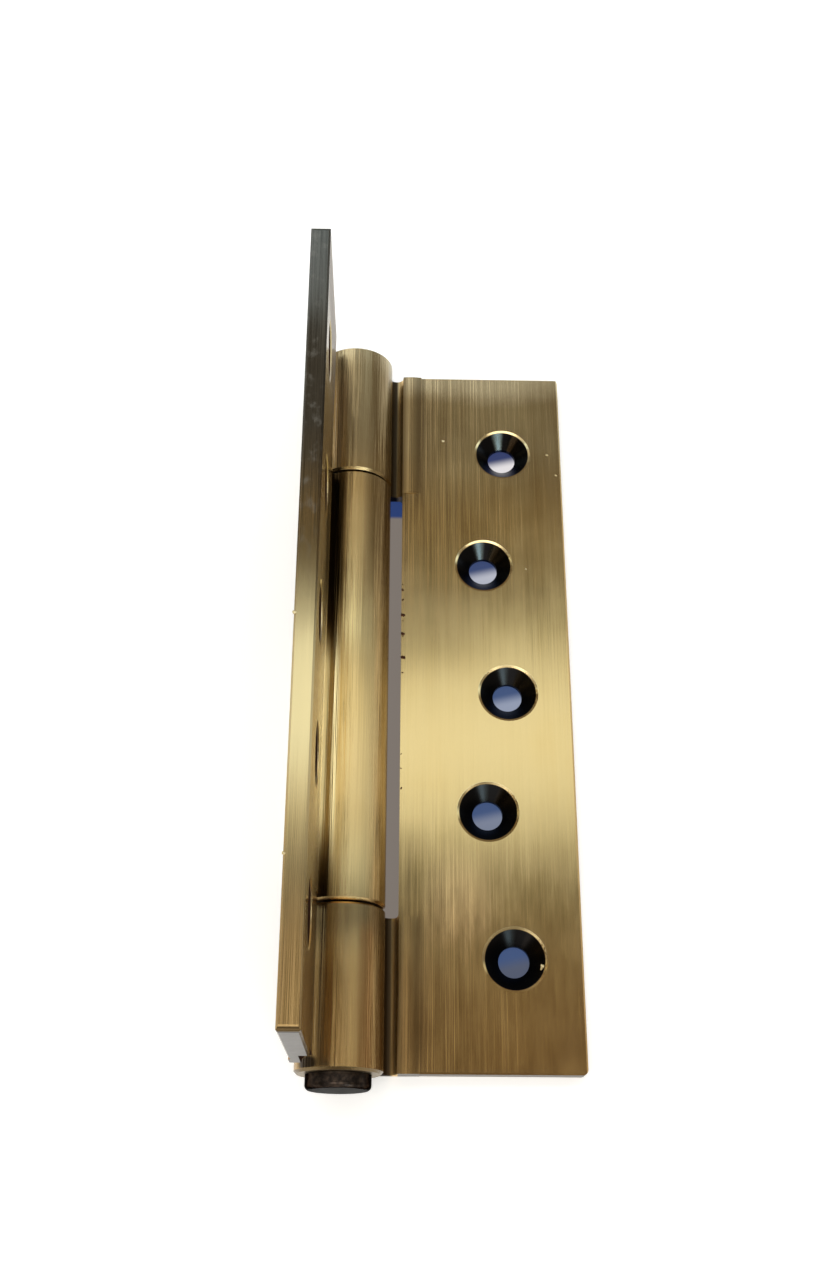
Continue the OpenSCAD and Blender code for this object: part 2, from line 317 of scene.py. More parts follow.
def map_hollows(on):
    """Countersinks, the painted highlight on their upper lips and the groove beside the knuckles.
    """
    away, on.sideways, on.upwards = around_holes(on.across, on.y)
    inside = on.depth.step(0.02, 0.08)
    # Dark countersink cones; on the door leaf painted shade is added to them later.
    on.recess = away.step(4.84, 4.72) * inside
    # Painted highlight on the upper lip of each countersink.
    on.lip = away.step(5.24, 5.12) * (1.0 - on.recess) * on.upwards.step(-0.3, 0.5)
    on.lip = on.lip * on.depth.step(2.85, 2.95)
    on.groove = on.depth.step(3.12, 2.9) * on.across.step(8.95, 8.8) * on.plate * inside


print("each leaf is mapped from its own sizes")

# %% [markdown]
# ## Brass: ground colour
#
# Old brass is never one colour. Fine and broad streaks and slow clouds make one value,
# `tone`, and each ground colour is a pair, dark and light, that tone chooses from. The
# pairs change along the leaf: pale at the top edge, olive below it, warm in the middle,
# brown at the bottom, where crossed scuffs replace some of the streaks.

# %% Tone and ground
GROUND = {"warm": (rgb(0.36, 0.24, 0.092), rgb(0.48, 0.34, 0.15)),
          "brown": (rgb(0.29, 0.175, 0.064), rgb(0.43, 0.282, 0.115)),
          "coppery": (rgb(0.37, 0.237, 0.087), rgb(0.48, 0.32, 0.135)),
          "olive": (rgb(0.29, 0.215, 0.105), rgb(0.41, 0.325, 0.17)),
          "pale": (rgb(0.6, 0.52, 0.33), rgb(0.76, 0.66, 0.43)),
          "rubbed": (rgb(0.54, 0.385, 0.17), rgb(0.66, 0.49, 0.23))}


def map_tone(on):
    fine = streaks(on.here, 0.28, 38.0, 4.0, 3.0)
    on.broad = streaks(on.here, 1.5, 60.0, 3.0, 11.0)
    on.cloud = on.here.node("ShaderNodeTexNoise", {},
                            {"Vector": on.here, "Scale": 0.055, "Detail": 4.0})
    on.scuff = (streaks(on.here, 1.1, 9.0, 3.0, 7.0, turn=24.0) * 0.5
                + streaks(on.here, 1.6, 7.0, 3.0, 9.0, turn=-38.0) * 0.5)
    used = on.y.step(-14.0, -34.0) * on.plate
    grain = fine * 0.1 + on.broad * 0.32 + on.cloud * 0.58
    scuffed = grain + (on.scuff * 0.6 + on.cloud * 0.4 - grain) * used * 0.6
    on.tone = scuffed.step(0.26, 0.74)


def ground_colour(on):
    ground = {name: on.tone.blend(*pair) for name, pair in GROUND.items()}
    # The rubbed pair also serves as the painted highlight on the crest of the barrel.
    on.rubbed = ground["rubbed"]
    colour = on.y.step(-20.0, -58.0).blend(ground["warm"], ground["brown"])
    colour = (on.knuckle * 0.7).blend(colour, ground["coppery"])
    colour = (on.y + on.cloud * 8.0).step(34.0, 54.0).blend(colour, ground["olive"])
    return (on.y + on.cloud * 6.0).step(60.0, 66.5).blend(colour, ground["pale"])


print("ground colours:", ", ".join(GROUND))

# %% [markdown]
# ## Brass: the barrel
#
# Hands and doors touch the top of the barrel most, so its crest is rubbed bright, and it is
# painted lighter there as a highlight too, with two narrower stripes of painted highlight. Its
# side towards the leaf is painted dark as shade, and painted shade sits in the corner where the
# knuckles grow out of the leaf, with a fainter painted shade in the trough beside it.

# %% Barrel wear and painted light
GREY_CREST, STRIPE_HIGHLIGHT = rgb(0.5, 0.415, 0.24), rgb(0.84, 0.61, 0.27)
FLANK_SHADE, ROOT_SHADE = rgb(0.13, 0.085, 0.036), rgb(0.07, 0.045, 0.02)


def barrel_wear_and_light(on, colour):
    # The crest: rubbed bright and painted lighter as a highlight, left out in the arch's band,
    # which already lights it.
    crest = on.knuckle * on.rise.step(4.4, 6.3) * (1.0 - on.band)
    crest = crest * (0.6 + on.y.step(44.0, 30.0) * 0.25)
    crest = crest * (1.0 - on.y.step(-44.0, -54.0) * 0.6)
    colour = crest.blend(colour, on.y.step(32.0, 44.0).blend(on.rubbed, GREY_CREST))
    # Two narrow stripes of painted highlight along the knuckles.
    upper_stripe_highlight = on.x.strip(-0.5, 0.3, 1.7, 2.4) * on.y.strip(2.0, 12.0, 36.0, 38.0)
    lower_stripe_highlight = on.x.strip(0.9, 1.9, 3.2, 4.4) * on.y.step(-41.0, -45.0)
    colour = (on.knuckle * upper_stripe_highlight.high(lower_stripe_highlight) * 0.6).blend(colour, STRIPE_HIGHLIGHT)
    # Painted shade on the barrel's flank towards the flat leaf, above the band.
    flank_shade = on.knuckle * on.x.step(2.0, 3.8) * on.y.step(9.0, 24.0)
    flank_shade = flank_shade * (0.35 + on.y.step(39.0, 36.0) * 0.25)
    return flank_shade.blend(colour, FLANK_SHADE)


def root_shade(on, colour):
    # Painted shade in the corner beside the knuckles, and a fainter painted shade in the trough
    # just beyond it.
    corner_shade = on.root * on.face * on.across.step(10.3, 8.9) * 0.8
    trough_shade = on.root * on.face * on.across.strip(10.8, 11.7, 12.3, 13.4) * 0.35
    return corner_shade.high(trough_shade).blend(colour, ROOT_SHADE)


print("the barrel is rubbed on its crest")

# %% [markdown]
# ## Brass: wear on the frame leaf
#
# The leaf that lies flat is darker towards the barrel, with one buffed patch between its two
# lowest holes and a patch of painted shadow beside the barrel level with it. The top knuckle is
# painted lighter on its side towards the standing leaf, as a highlight. The lower knuckle has
# painted shade under the joint, a rusty streak and, at its foot, a painted half-round shadow where
# a small relief lies in the dark.

# %% Frame leaf wear and painted light
DARK_BROWN, BUFFED, KNUCKLE_SIDE_HIGHLIGHT = rgb(0.17, 0.11, 0.045), rgb(0.84, 0.55, 0.25), rgb(0.72, 0.53, 0.28)
JOINT_SHADE, RUST, HALF_DISC_SHADOW = rgb(0.1, 0.06, 0.028), rgb(0.34, 0.165, 0.055), rgb(0.02, 0.014, 0.01)


def frame_leaf_wear_and_light(on, colour):
    # The leaf grows darker towards the barrel.
    toward_barrel = on.face * on.across.step(28.0, 16.0) * (1.0 - on.band)
    colour = (toward_barrel * on.y.step(44.0, 36.0) * 0.3).blend(colour, DARK_BROWN)
    ragged = (on.scuff - 0.5) * 12.0
    buffed = distance((on.across - 18.5) / 8.0, (on.y + 36.5 + ragged) / 11.0).step(1.0, 0.1)
    colour = (on.face * buffed * (0.26 + on.tone * 0.3)).blend(colour, BUFFED)
    # A patch of painted shadow beside the barrel, low on the leaf.
    painted_shadow = on.face * on.across.step(15.5, 10.5) * on.y.strip(-40.0, -34.0, -28.0, -22.0)
    colour = (painted_shadow * 0.3).blend(colour, DARK_BROWN)
    # Painted highlight on the top knuckle's side towards the standing leaf.
    knuckle_side_highlight = on.knuckle * on.x.step(-0.6, -2.2) * on.y.strip(37.0, 41.0, 52.0, 60.0)
    return (knuckle_side_highlight * 0.75).blend(colour, KNUCKLE_SIDE_HIGHLIGHT)


def lower_knuckle_stain_and_shade(on, colour):
    # Painted shade under the joint, streaked along the pin.
    joint_shade = on.knuckle * on.y.strip(-48.5, -42.0, -39.6, -38.0) * (0.25 + on.broad * 0.7)
    colour = joint_shade.blend(colour, JOINT_SHADE)
    rust = on.knuckle * on.x.strip(2.4, 3.4, 4.4, 5.4) * on.y.step(-41.0, -45.0)
    colour = (rust * 0.6).blend(colour, RUST)
    # A painted half-round shadow at the foot of the lower knuckle.
    half_disc_shadow = distance((on.x + 4.4) * 0.75, (on.y + 63.1) * 0.9).step(1.4, 0.7)
    half_disc_shadow = half_disc_shadow * on.knuckle * on.rise.step(0.0, 2.0) * on.y.step(-63.75, -63.6)
    return (half_disc_shadow * 0.95).blend(colour, HALF_DISC_SHADOW)


print("the frame leaf is worn")

# %% [markdown]
# ## Brass: wear on the door leaf
#
# The corner between the standing leaf and the barrel is painted with a highlight in the middle,
# where the arch's band crosses it, and with painted shade above and below. The free edge goes from
# brass at the bottom through brown and near black to a cool grey at the top, each with a ragged
# border, and is painted brighter as a highlight in the band. The top of the inner face has gone
# dull: less metallic, not just greyer.

# %% Door leaf corner: painted light and shade
CORNER_HIGHLIGHT = rgb(0.95, 0.82, 0.56)
GLOOM, SHADE = rgb(0.03, 0.018, 0.008), rgb(0.12, 0.075, 0.032)


def door_corner_light_and_shade(on, colour):
    # Painted highlight in the corner and on the leaf beside it, where the arch's band crosses.
    on_leaf = on.plate * on.across.step(30.0, 20.0) * on.depth.step(2.0, 2.4)
    corner_highlight = (on.knuckle * on.x.step(-1.0, -2.2)).high(on_leaf)
    colour = (corner_highlight * on.band).blend(colour, CORNER_HIGHLIGHT)
    # Painted shade in the corner above the band.
    gloom = on.knuckle * on.x.step(-0.6, -1.7) * on.y.step(5.0, 16.0)
    colour = (gloom * 0.8).blend(colour, GLOOM)
    shade = on.knuckle * on.x.step(0.8, -2.5) * on.y.step(-26.0, -37.0)
    return (shade * 0.5).blend(colour, SHADE)


print("the door leaf is worn")

# %% Free edge tones and painted highlight
EDGE_BRASS, EDGE_HIGHLIGHT = rgb(0.36, 0.25, 0.112), rgb(0.43, 0.33, 0.17)
EDGE_TONES = [(-13.0, 8.0, rgb(0.13, 0.085, 0.035)), (9.0, 26.0, rgb(0.052, 0.045, 0.033)),
             (37.0, 52.0, rgb(0.122, 0.131, 0.125))]
EDGE_PATCH, DULL_FACE = rgb(0.27, 0.27, 0.25), rgb(0.3, 0.26, 0.25)


def free_edge_tones_and_highlight(on, colour):
    rim = on.across.step(37.2, 37.7)
    # The free edge is painted brighter as a highlight where the arch's band crosses it.
    colour = (rim * 0.7).blend(colour, on.band.blend(EDGE_BRASS, EDGE_HIGHLIGHT))
    # Colours along the free edge, each with a ragged border.
    ragged = on.y + on.cloud * 14.0 - 7.0
    for start, end, tinted in EDGE_TONES:
        colour = (rim * ragged.step(start, end)).blend(colour, tinted)
    patchy = streaks(on.here, 1.3, 2.2, 3.0, 13.0).step(0.52, 0.74) * on.y.step(-6.0, 20.0)
    colour = (rim * patchy * 0.28).blend(colour, EDGE_PATCH)
    on.dull = (on.y + on.cloud * 16.0 - 8.0).step(34.0, 58.0) * on.face * rim.step(1.0, 0.0)
    return (on.dull * 0.8).blend(colour, DULL_FACE)


print("the free edge changes colour", len(EDGE_TONES), "times")

# %% [markdown]
# ## Brass: edges, grooves and countersinks
#
# What the rubbing could not reach comes last, over everything else, and painted light and shade
# come with it. The sawn ends are dull, the bevels at the lower end are painted darker as shade and
# the upper lips of the countersinks are painted bright as a highlight. The grooves hold dirt and
# painted shade, and the outer wall of the frame leaf's groove is painted brighter as a highlight.
# The cones of the countersinks are nearly black, and on the door leaf a notch and a spot at its
# foot are painted dark as shade. Two painted reflections lie in the upper cones of the frame leaf.

# %% Edges
SAWN_END, KNUCKLE_END = rgb(0.115, 0.103, 0.092), rgb(0.26, 0.2, 0.12)
BEVEL_SHADE, LIP_HIGHLIGHT = rgb(0.16, 0.11, 0.05), rgb(0.62, 0.5, 0.27)


def edges_and_painted_light(on, colour):
    colour = (on.ends * on.plate * abs(on.y).step(60.0, 62.0)).blend(colour, SAWN_END)
    colour = (on.ends * on.knuckle).blend(colour, KNUCKLE_END)
    # Painted shade on the bevels at the lower end.
    colour = on.slant.blend(colour, BEVEL_SHADE)
    # Painted highlight on the upper lips of the countersinks.
    return on.lip.blend(colour, LIP_HIGHLIGHT)


print("ends, bevels and lips are set")

# %% Grooves and countersinks
GROOVE_WALL_HIGHLIGHT, DIRT_AND_SHADE = rgb(0.78, 0.57, 0.28), rgb(0.024, 0.015, 0.009)
BLACK_CONE, BROWN_CONE_AND_SHADE = rgb(0.014, 0.014, 0.015), rgb(0.03, 0.014, 0.009)
COOL_GLINT, TAN_GLINT = rgb(0.2, 0.26, 0.265), rgb(0.26, 0.21, 0.16)


def frame_leaf_hollows_and_light(on, colour):
    # The outer wall of the groove is painted brighter as a highlight, against its shade.
    colour = (on.groove * on.across.step(7.5, 8.2)).blend(colour, GROOVE_WALL_HIGHLIGHT)
    # Dirt and painted shade in the groove next to the barrel.
    colour = (on.groove * on.across.step(8.3, 7.5) * 0.96).blend(colour, DIRT_AND_SHADE)
    colour = on.recess.blend(colour, BLACK_CONE)
    # Two painted reflections in the upper cones, a cool one and a fainter tan one, strongest in
    # the top holes.
    shine = on.recess * on.upwards.step(0.3, 0.6) * (0.06 + on.y.step(14.0, 50.0) * 0.94)
    cool = shine * on.sideways.strip(-0.48, -0.3, -0.06, 0.1)
    tan = shine * on.sideways.strip(0.38, 0.47, 0.58, 0.7) * 0.5
    return tan.blend(cool.blend(colour, COOL_GLINT), TAN_GLINT)


def door_leaf_hollows_and_shade(on, colour):
    # Dirt and painted shade in the groove, mostly left out in the band.
    colour = (on.groove * (0.96 - on.band * 0.9)).blend(colour, DIRT_AND_SHADE)
    down, back = on.y + LEAF_END, on.depth - 2.8
    # Painted shade on the notch at the lower end and on a spot at the foot, added to the dark
    # countersinks.
    notch_shade = distance(down, back).step(1.22, 1.14) * on.across.step(16.2, 15.9)
    foot_shadow = distance(down, back, on.across - 9.3).step(1.4, 1.1)
    on.recess = on.recess.high(notch_shade).high(foot_shadow)
    return on.recess.blend(colour, BROWN_CONE_AND_SHADE)


print("grooves and countersinks are dark")

# %% [markdown]
# ## Brass: the finish itself
#
# The layers are laid on in the order in which they happened to the metal, with the painted light
# and shade among them. Roughness follows the tone, and is higher in the groove and on the sawn
# ends. The door leaf is seen at a flat angle, at which any clear surface turns into a mirror. An
# index of refraction of 1 takes that mirror away wherever its metal is turned down: in the dark
# countersinks, in the painted shade of the notch and the foot, and on the dull top.

# %% Brass on both leaves
LAYERS = {"frame": (barrel_wear_and_light, root_shade, frame_leaf_wear_and_light, lower_knuckle_stain_and_shade, edges_and_painted_light,
                    frame_leaf_hollows_and_light),
          "door": (barrel_wear_and_light, root_shade, door_corner_light_and_shade, free_edge_tones_and_highlight, edges_and_painted_light,
                   door_leaf_hollows_and_shade)}


def brass_finish(name, leaf):
    finish, shader, here, facing = new_finish(name)
    on = leaf_map(leaf, here, facing)
    map_hollows(on)
    map_tone(on)
    colour = ground_colour(on)
    for layer in LAYERS[leaf]:
        colour = layer(on, colour)
    feed(shader, "Base Color", colour)
    polish = 0.13 + on.tone * 0.09
    feed(shader, "Roughness", polish + on.groove * 0.2 + on.ends * 0.2 + on.recess * 0.05)
    if leaf == "door":
        shader.inputs["IOR"].default_value = 1.0
        feed(shader, "Metallic", 1.0 - on.recess.high(on.dull * 0.65) * 0.97)
    hair = streaks(here, 0.06, 25.0, 2.0, 17.0)
    brush(shader, facing, (hair - 0.5) * (0.6 + on.knuckle * 0.8) * (1.0 - on.recess))
    return finish


for node, leaf in (("frame_leaf", "frame"), ("door_leaf", "door")):
    nodes[node].data.materials[0] = brass_finish("brass_" + leaf, leaf)
    print(node, "has", len(nodes[node].data.materials[0].node_tree.nodes), "shader nodes")

# %% [markdown]
# ## Steel, bronze and blackened steel
#
# The small pieces were turned on a lathe or ground, so they carry an even, fine mottle instead of
# streaks. One recipe serves them all, with its two colours, its roughness and its sheen at the
# edge as inputs. Faces that look down the pin, such as the lower end of the adjuster's head, take
# the darker colour as painted shade.


# %% Finishes of the small pieces
def plain_finish(name, light, dark, rough, edge=1.0):
    finish, shader, here, facing = new_finish(name)
    shader.inputs["Specular Tint"].default_value = (edge, edge, edge, 1.0)
    mottle = streaks(here, 0.8, 0.8, 4.0, 5.0)
    # Faces that look down the pin are painted with the darker colour as shade.
    shaded_lower_end = axes_of(facing)[1].step(-0.8, -0.95)
    colour = mottle.step(0.35, 0.7).blend(dark, light)
    feed(shader, "Base Color", shaded_lower_end.blend(colour, dark))
    feed(shader, "Roughness", rough + mottle * 0.15)
    bump(shader, mottle, 0.15, 0.02)
    return finish


black_steel = plain_finish("black_steel", rgb(0.06, 0.044, 0.034),
                           rgb(0.02, 0.016, 0.014), 0.24, 0.2)
steel = plain_finish("ground_steel", rgb(0.55, 0.55, 0.54), rgb(0.4, 0.4, 0.4), 0.22)
bronze = plain_finish("turned_bronze", rgb(0.55, 0.32, 0.14), rgb(0.42, 0.23, 0.09), 0.26)
spring_steel = plain_finish("oiled_spring_steel", rgb(0.26, 0.26, 0.27),
                            rgb(0.14, 0.14, 0.15), 0.25)
for node, finish in (("adjuster", black_steel), ("lock_screw", black_steel),
                     ("top_pivot", steel), ("plug_pin", steel),
                     ("anchor_plug", bronze), ("lower_bush", bronze),
                     ("torsion_spring", spring_steel)):
    nodes[node].data.materials[0] = finish
    print(node, "is", finish.name)

# %% [markdown]
# ## The torsion spring
#
# A spring of this kind is one wire: a straight leg across the lower nose, a tight
# bend, twenty-nine turns and the same bend and leg at the other end. A Screw modifier
# makes the turns but not the bends. The path is a rule, so Python works out its points,
# and a Geometry Nodes tree sweeps a round wire along them.

# %% Sizes of the wire
WIRE, WINDINGS, BEND = 1.6, 29, 1.2
LEG_STEPS, BEND_STEPS, WINDING_STEPS = 8, 9, 40
low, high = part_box("torsion_spring")
COIL = (high.x - low.x) / MM / 2 - WIRE / 2
leg_low, leg_high = low.y / MM + WIRE / 2, high.y / MM - WIRE / 2
bend_turn = math.asin(BEND / (COIL - BEND))
leg_end = (COIL - BEND) * math.cos(bend_turn)
print("coil radius", round(COIL, 2), "mm, legs at", round(leg_low, 1), "and", round(leg_high, 1))


# %% Path of the wire
def leg(way):
    """Leg and bend in the plane square to the pin, from the far wall to the coil."""
    start = -COIL + WIRE / 2
    path = [(start + k * (leg_end - start) / LEG_STEPS, 0.0) for k in range(LEG_STEPS)]
    for k in range(BEND_STEPS):
        turn = -math.pi / 2 + (math.pi / 2 + bend_turn) * k / BEND_STEPS
        path.append((leg_end + BEND * math.cos(turn), way * (BEND + BEND * math.sin(turn))))
    return path


steps = WINDINGS * WINDING_STEPS
wire_path = [(a, leg_low, b) for a, b in leg(1)]
for k in range(steps + 1):
    turn = bend_turn + (2 * math.pi * WINDINGS - 2 * bend_turn) * k / steps
    height = leg_low + (leg_high - leg_low) * k / steps
    wire_path.append((COIL * math.cos(turn), height, COIL * math.sin(turn)))
wire_path += [(a, leg_high, b) for a, b in reversed(leg(-1))]
print("wire path:", len(wire_path), "points")

# %% [markdown]
# ## Geometry Nodes from Python
#
# A node tree gets named inputs, so its sizes can be changed in the modifier as well as
# here. The same `Field` class wires it. The result is turned into a plain mesh, because
# the export keeps meshes and drops instances.


# %% Open and close a tree
def node_tree(name, inputs):
    tree = bpy.data.node_groups.new(name, "GeometryNodeTree")
    tree.interface.new_socket("Geometry", in_out="INPUT", socket_type="NodeSocketGeometry")
    ids = {}
    for label, kind, value in inputs:
        made = tree.interface.new_socket(label, in_out="INPUT", socket_type="NodeSocket" + kind)
        ids[label] = made.identifier
        if value is not None:
            made.default_value = value
    tree.interface.new_socket("Geometry", in_out="OUTPUT", socket_type="NodeSocketGeometry")
    entry = tree.nodes.new("NodeGroupInput")
    print("tree", name, "has the inputs", ", ".join(ids))
    return tree, ids, {socket.name: Field(tree, socket) for socket in entry.outputs if socket.name}


def close_tree(shape, material):
    solid = shape.node("GeometryNodeRealizeInstances", {}, {"Geometry": shape})
    coated = shape.node("GeometryNodeSetMaterial", {},
                        {"Geometry": solid, "Material": material})
    end = shape.tree.nodes.new("NodeGroupOutput")
    shape.tree.links.new(coated.socket, end.inputs[0])


print("trees open with named inputs and close with a finish")


# %% Grow a piece from a tree
def grow(name, source, tree, ids, values):
    """Run a tree on a source object and return the result as a plain mesh object."""
    scene.collection.objects.link(source)
    modifier = source.modifiers.new(tree.name, "NODES")
    modifier.node_group = tree
    for label, value in values.items():
        modifier[ids[label]] = value
    seen_by = bpy.context.evaluated_depsgraph_get()
    mesh = bpy.data.meshes.new_from_object(source.evaluated_get(seen_by))
    source.modifiers.clear()
    bpy.data.objects.remove(source)
    mesh.name = name
    piece = bpy.data.objects.new(name, mesh)
    scene.collection.objects.link(piece)
    print(name, "has", len(mesh.polygons), "faces")
    return piece


print("a tree's result becomes a plain mesh")

# %% [markdown]
# ## Sweep the spring
#
# A round section swept along the path is the wire. When the door swings, every turn of a real
# spring takes its share of the twist. A piece that rides on one leaf would tear away from the
# other.

# %% Tree that sweeps a wire
WIRE_SIDES = 12
tree, ids, given = node_tree("swept_wire", [("Wire radius", "Float", 0.8 * MM),
                                            ("Sides", "Int", WIRE_SIDES),
                                            ("Finish", "Material", None)])
section = given["Geometry"].node("GeometryNodeCurvePrimitiveCircle", {},
                                 {"Radius": given["Wire radius"], "Resolution": given["Sides"]})
wire = section.node("GeometryNodeCurveToMesh", {},
                    {"Curve": given["Geometry"], "Profile Curve": section, "Fill Caps": True})
wire = wire.node("GeometryNodeSetShadeSmooth", {}, {"Geometry": wire})
close_tree(wire, given["Finish"])

# %% Spring
line = bpy.data.curves.new("wire_path", "CURVE")
line.dimensions = "3D"
strand = line.splines.new("POLY")
strand.points.add(len(wire_path) - 1)
for point, (a, b, c) in zip(strand.points, wire_path):
    point.co = (a * MM, b * MM, (c + PIN_Z) * MM, 1.0)
spring = grow("spring_coil", bpy.data.objects.new("wire_path", line), tree, ids,
              {"Wire radius": WIRE / 2 * MM, "Sides": WIRE_SIDES, "Finish": spring_steel})
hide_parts("torsion_spring")
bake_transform(spring)

# %% [markdown]
# ## Nicks, burrs and specks
#
# The cutter that opened the slot tore its edge, and a few crumbs of metal were left on
# the face, on the free edge and in one countersink. Each is a small ragged lump, and no
# two have the same size. A bump map could draw them, but they would vanish from the side
# and from the mesh. So a table gives the places and sizes, and one Geometry Nodes tree
# makes a lump on every point: a ball roughened by noise, turned at random, flattened and
# set in place.


# %% Torn and rubbed metal
def crumb_finish(name, dark, light, rough):
    finish, shader, here, facing = new_finish(name)
    grain = streaks(here, 0.3, 0.3, 3.0, 2.0)
    feed(shader, "Base Color", grain.step(0.35, 0.65).blend(dark, light))
    feed(shader, "Roughness", rough + grain * 0.2)
    bump(shader, grain, 0.3, 0.04)
    print(name, "is ready")
    return finish


torn_brass = crumb_finish("torn_brass", rgb(0.03, 0.011, 0.007), rgb(0.11, 0.045, 0.022), 0.35)
rubbed_brass = crumb_finish("rubbed_brass", rgb(0.6, 0.47, 0.24), rgb(0.78, 0.66, 0.4), 0.25)

# %% Tree that puts a lump on every point
LUMP_SEED, FULL_TURN = 4, 6.28
tree, ids, given = node_tree("lumps", [("Flatness", "Float", 0.5), ("Seed", "Int", LUMP_SEED),
                                       ("Finish", "Material", None)])
ball = given["Geometry"].node("GeometryNodeMeshIcoSphere", {}, {"Radius": 1.0, "Subdivisions": 4})
spot = ball.node("GeometryNodeInputPosition")
lumpy = ball.node("ShaderNodeTexNoise", {}, {"Vector": spot, "Scale": 1.1, "Detail": 2.0})
swell = ball.node("ShaderNodeVectorMath", {"operation": "SCALE"},
                  {0: spot, "Scale": (lumpy - 0.5) * 1.6})
ball = ball.node("GeometryNodeSetPosition", {}, {"Geometry": ball, "Offset": swell})
ball = ball.node("GeometryNodeSetShadeSmooth", {}, {"Geometry": ball})
turn = ball.node("FunctionNodeRandomValue", {"data_type": "FLOAT_VECTOR"},
                 {0: (0.0, 0.0, 0.0), 1: (0.0, 0.0, FULL_TURN), 8: given["Seed"]})
size = ball.node("GeometryNodeInputNamedAttribute", {"data_type": "FLOAT"}, {"Name": "size"})
scale = ball.node("ShaderNodeCombineXYZ", {},
                  {0: size, 1: size * 1.25, 2: size * given["Flatness"]})
lumps = ball.node("GeometryNodeInstanceOnPoints", {},
                  {"Points": given["Geometry"], "Instance": ball, "Rotation": turn,
                   "Scale": scale})
close_tree(lumps, given["Finish"])


# %% Lumps from a table
def lumps_at(name, spots, flatness, finish, body):
    """Lumps at (x, y, z, radius), all in mm, that ride with a body."""
    mesh = bpy.data.meshes.new(name + "_spots")
    mesh.from_pydata([[c * MM for c in spot[:3]] for spot in spots], [], [])
    sizes = mesh.attributes.new("size", "FLOAT", "POINT")
    for record, spot in zip(sizes.data, spots):
        record.value = spot[3] * MM
    piece = grow(name, bpy.data.objects.new(name + "_spots", mesh), tree, ids,
                 {"Flatness": flatness, "Seed": LUMP_SEED, "Finish": finish})
    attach(piece, body)


print("lumps come from tables of place and radius")

# %% Places of the lumps
chance = random.Random(4)
torn = [(9.1, 13.5, 3.18, 0.3), (9.1, 9.9, 3.18, 0.28), (9.15, 5.5, 3.18, 0.32),
        (9.0, 18.4, 3.18, 0.2)]
torn += [(8.95 + chance.uniform(0, 0.15), chance.uniform(-22, 21), 3.18,
          0.06 + 0.13 * chance.random() ** 3) for _ in range(34)]
specks = [(16.25, 49.4, 3.19, 0.2), (35.5, 46.7, 3.19, 0.18), (37.0, 42.4, 3.19, 0.18),
          (30.9, 22.9, 3.19, 0.12)]
chips = [(-6.66, -5.9, 44.66, 0.24), (-6.66, -40.8, 44.66, 0.2)]
burr = [(31.6, -47.1, 2.75, 0.32), (31.4, -47.5, 2.6, 0.2)]
lumps_at("slot_edge_nicks", torn, 0.3, torn_brass, "frame")
lumps_at("face_specks", specks, 0.45, rubbed_brass, "frame")
lumps_at("edge_chips", chips, 0.8, rubbed_brass, "door")
lumps_at("sink_burr", burr, 0.7, rubbed_brass, "frame")

# %% [markdown]
# ## The floor
#
# The hinge lies on a pale floor that rises softly at its rim, so that no hard horizon shows in low
# views. A plane would do for the first view alone. The floor is matt paper that takes the hinge's
# shadow, plus a glow that only the camera and shiny things see, so it looks white without lighting
# the hinge from below. Far away it fades to the colour of the room. Under the frame leaf the paper
# is painted nearly black as shade, and its glow is painted with the light and shadow that show
# through the holes and the slot.

# %% Shape of the floor
FLAT, RISE, TURNS = 2.6, 15, 96
GAP = 0.05 * MM
profile = [(0.3, 0.0), (1.0, 0.0), (FLAT, 0.0)]
profile += [(FLAT + 0.4 * math.sin(a), 0.3 * (1 - math.cos(a)))
            for a in (math.radians(RISE * i) for i in range(1, 7))]
points = [(r * math.cos(t), r * math.sin(t), h - GAP)
          for r, h in profile for t in (2 * math.pi * k / TURNS for k in range(TURNS))]
points.append((0.0, 0.0, -GAP))
quads = [(i * TURNS + k, (i + 1) * TURNS + k, (i + 1) * TURNS + (k + 1) % TURNS,
          i * TURNS + (k + 1) % TURNS) for i in range(len(profile) - 1) for k in range(TURNS)]
fans = [(len(points) - 1, k, (k + 1) % TURNS) for k in range(TURNS)]
floor_mesh = bpy.data.meshes.new("floor")
floor_mesh.from_pydata(points, [], quads + fans)
floor = bpy.data.objects.new("floor", floor_mesh)
scene.collection.objects.link(floor)
print("floor of", len(quads) + len(fans), "faces")

# %% Place and rays on the floor
sheet = bpy.data.materials.new("pale_floor_with_painted_shade")
sheet.use_nodes = True
tree = sheet.node_tree
tree.nodes.clear()
rays = tree.nodes.new("ShaderNodeLightPath")
seen = Field(tree, rays.outputs["Is Camera Ray"])
for kind in ("Is Glossy Ray", "Is Transmission Ray"):
    seen = seen.high(Field(tree, rays.outputs[kind]))
spot = tree.nodes.new("ShaderNodeTexCoord")
fx, fy, fz = [axis * (1.0 / MM) for axis in axes_of(Field(tree, spot.outputs["Object"]))]
under_leaf = fx.strip(0.0, 1.5, 36.2, 37.2) * abs(fy).step(63.0, 62.0)
far_off = distance(fx, fy).step(900.0, 2900.0)
print("the floor glows for camera, glossy and transmission rays")

# %% Painted light and shadow under the holes and the slot
shaded = None
# Painted shadow on the upper side of each hole.
for u, v in HOLES:
    du, dv = fx - u, fy - v
    hole_shadow = distance(du, dv).step(4.2, 3.6) * (dv - du * 0.25).step(-1.1, 1.2)
    shaded = hole_shadow if shaded is None else shaded.high(hole_shadow)
# Painted light in the holes: near white at the top of the leaf, darker and bluer lower down.
lit = fy.step(-50.0, 2.0).blend(rgb(0.075, 0.09, 0.14), rgb(0.28, 0.32, 0.43))
lit = fy.step(8.0, 44.0).blend(lit, rgb(0.76, 0.73, 0.74))
# The blue of the painted shadow.
dim = fy.step(0.0, 46.0).blend(rgb(0.045, 0.08, 0.19), rgb(0.026, 0.04, 0.13))
